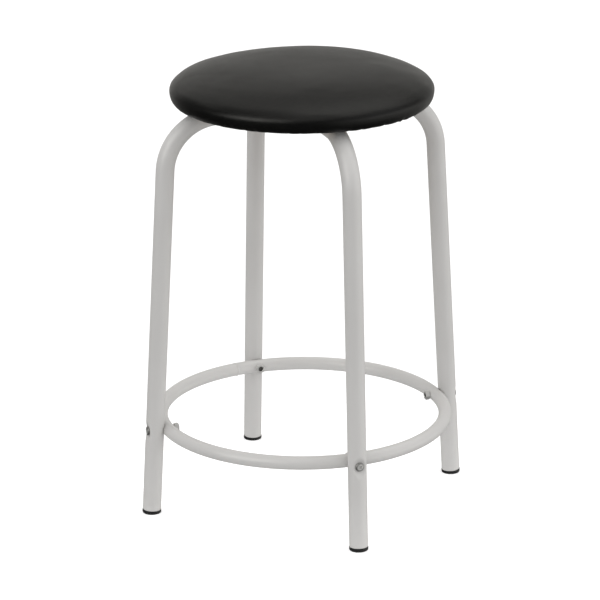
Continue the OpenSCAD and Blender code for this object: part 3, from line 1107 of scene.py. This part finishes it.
def softbox(v, outer, inner, value):
    """Soft-edged round light in direction v, fading between two angles off it, in degrees."""
    return remap(wn, facing(v), "Value", math.cos(math.radians(outer)), math.cos(math.radians(inner)), 0.0, value, smooth=True)


def join(kind, *parts):
    total, out = parts[0]
    for node, o in parts[1:]:
        n = add(wn, "ShaderNodeMath", operation=kind)
        link(wn, total, out, n, 0)
        link(wn, node, o, n, 1)
        total, out = n, 0
    return total, out


def background(node, out, colour=(1, 1, 1)):
    b = add(wn, "ShaderNodeBackground")
    b.inputs["Color"].default_value = (*colour, 1)
    link(wn, node, out, b, "Strength")
    return b


# what lights the surfaces: a soft ceiling, and a wide pale wall to each side
ceiling = by_height([(-90, 0), (0, 0.60), (10, 0.88), (25, 1.0), (45, 0.97), (65, 0.98), (90, 0.98)])
side_a, side_b = softbox((-0.9429, 0.3332, 0.35), 80, 10, 0.36), softbox((0.9429, -0.3332, 0.35), 80, 10, 0.30)
soft = background(*join("ADD", (ceiling, "Color"), (side_a, 0), (side_b, 0)), (1.0, 0.998, 0.995))
# what glossy surfaces mirror: a pale wall behind, dark room elsewhere, and a few softboxes
wall = by_height([(-90, 0.06), (-45, 0.14), (-24, 0.55), (-4, 0.66), (4, 0.62), (9, 0.555), (16, 0.465), (24, 0.41), (31, 0.31), (44, 0.18), (56, 0.08), (90, 0.05)])
side_on = remap(wn, facing((0.93, 0.42, 0.0)), "Value", -0.15, 0.35, 0.05, 0.41, smooth=True)
short = remap(wn, facing((0.3332, 0.9429, 0.0)), "Value", 0.2, 0.65, 0.12, 1.0, smooth=True)
centre, leftward = softbox((0.3332, 0.9429, 0.25), 50, 12, 0.547), softbox((-0.4268, 0.8933, 0.25), 50, 12, 0.146)
reach = join("ADD", join("MULTIPLY", (side_on, 0), (short, 0)), (centre, 0), (leftward, 0))
backdrop = join("MULTIPLY", (wall, "Color"), reach)
over = softbox((0.42, 0.15, 0.895), 33, 19, 0.92)
over_left = softbox((-0.172, 0.619, 0.766), 24, 8, 0.5)
top = by_height([(-90, 0), (50, 0), (75, 0.42), (90, 0.42)])
left = softbox((-0.818, -0.391, 0.4226), 29, 12, 3.1)
band = by_height([(-90, 0), (-40, 0), (-14, 0.78), (6, 0.78), (19, 0), (90, 0)])
right = join("MULTIPLY", (band, "Color"), (remap(wn, facing((0.824, -0.566, 0.0)), "Value", 0.5, 0.95, 0.0, 1.0, smooth=True), 0))
low_right = softbox((0.812, 0.416, -0.41), 34, 12, 0.12)
front_top = softbox((-0.1224, -0.6035, 0.788), 24, 9, 0.72)
mirror = background(*join("ADD", backdrop, right, (over, 0), (over_left, 0), (top, "Color"), (left, 0), (low_right, 0), (front_top, 0)), (1.0, 0.985, 0.935))
# what the camera sees past the floor's edge
plain = add(wn, "ShaderNodeBackground")
plain.inputs["Color"].default_value = (1, 1, 1, 1)
ray = add(wn, "ShaderNodeLightPath")
m1, m2 = add(wn, "ShaderNodeMixShader"), add(wn, "ShaderNodeMixShader")
link(wn, ray, "Is Glossy Ray", m1, 0)
link(wn, soft, 0, m1, 1)
link(wn, mirror, 0, m1, 2)
link(wn, ray, "Is Camera Ray", m2, 0)
link(wn, m1, 0, m2, 1)
link(wn, plain, 0, m2, 2)
wo = add(wn, "ShaderNodeOutputWorld")
link(wn, m2, 0, wo, 0)


def sun(name, toward, strength, angle, colour=(1, 1, 1)):
    d = bpy.data.lights.new(name, "SUN")
    d.energy, d.angle, d.color = strength, math.radians(angle), colour
    o = bpy.data.objects.new(name, d)
    scene.collection.objects.link(o)
    o.rotation_mode = "QUATERNION"
    o.rotation_quaternion = (-Vector(toward)).to_track_quat("-Z", "Y")
    return o


sun("key_softbox", (0.85, -0.35, 1.1), 0.12, 70)
sun("side_softbox", (0.843, -0.616, 0.35), 0.26, 60)

cam_data = bpy.data.cameras.new("camera")
cam_data.sensor_width = 36.0
cam_data.lens = 201.3
cam_data.clip_start, cam_data.clip_end = 0.1, 200
camera = bpy.data.objects.new("camera", cam_data)
scene.collection.objects.link(camera)
right, upv, fwd = Vector((0.942786, -0.333376, -0.003824)), Vector((0.110367, 0.301254, 0.947135)), Vector((0.3146, 0.893368, -0.320812))
camera.matrix_world = Matrix(
    (
        (right.x, upv.x, -fwd.x, -1.27671),
        (right.y, upv.y, -fwd.y, -3.61556),
        (right.z, upv.z, -fwd.z, 1.54682),
        (0, 0, 0, 1),
    )
)
scene.camera = camera
scene.view_settings.view_transform = "Standard"
scene.view_settings.look = "None"
